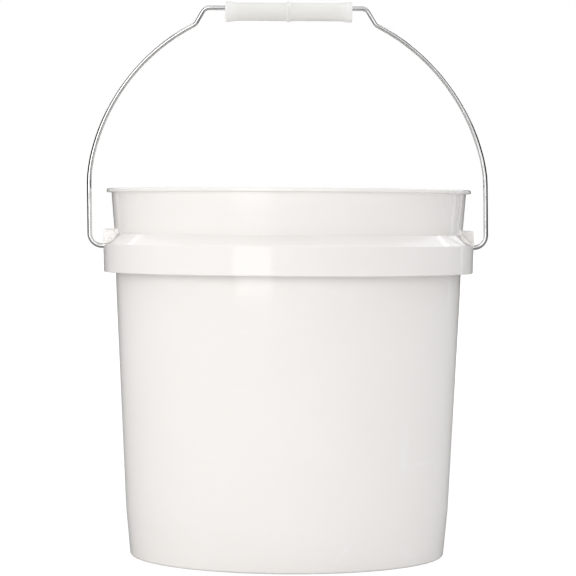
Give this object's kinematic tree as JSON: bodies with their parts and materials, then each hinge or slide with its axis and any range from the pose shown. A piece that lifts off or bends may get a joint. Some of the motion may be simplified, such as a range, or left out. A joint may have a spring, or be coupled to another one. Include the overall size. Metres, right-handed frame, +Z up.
{
  "type": "plastic bucket",
  "caption": "Round white plastic pail with a stiffening collar, hollow ears and an upright steel wire bail that carries a loose tubular grip.",
  "frame": {"origin": "centre of the pail's foot ring, on the plane that it stands on", "axes": "+Z up along the pail's axis, X through the two ears, with the bail upright in the XZ plane"},
  "size_m": [0.2649, 0.2436, 0.364],
  "materials": {
    "pail_plastic": "glossy white polyethylene with faint scuffs low on the wall",
    "bail_steel": "bright zinc-plated drawn wire",
    "grip_plastic": "milky white, slightly see-through tube"
  },
  "bodies": {
    "pail": {"pail": "pail_plastic"},
    "bail": {"bail_wire": "bail_steel"},
    "grip": {"bail_grip": "grip_plastic"}
  },
  "joints": [
    {"name": "bail_swing", "type": "hinge", "parent": "pail", "child": "bail", "pos_m": [0, 0, 0.2029], "axis": [1, 0, 0], "range_deg": [-130, 130]},
    {"name": "grip_spin", "type": "hinge", "parent": "bail", "child": "grip", "pos_m": [0, 0, 0.3598], "axis": [1, 0, 0], "continuous": true}
  ]
}
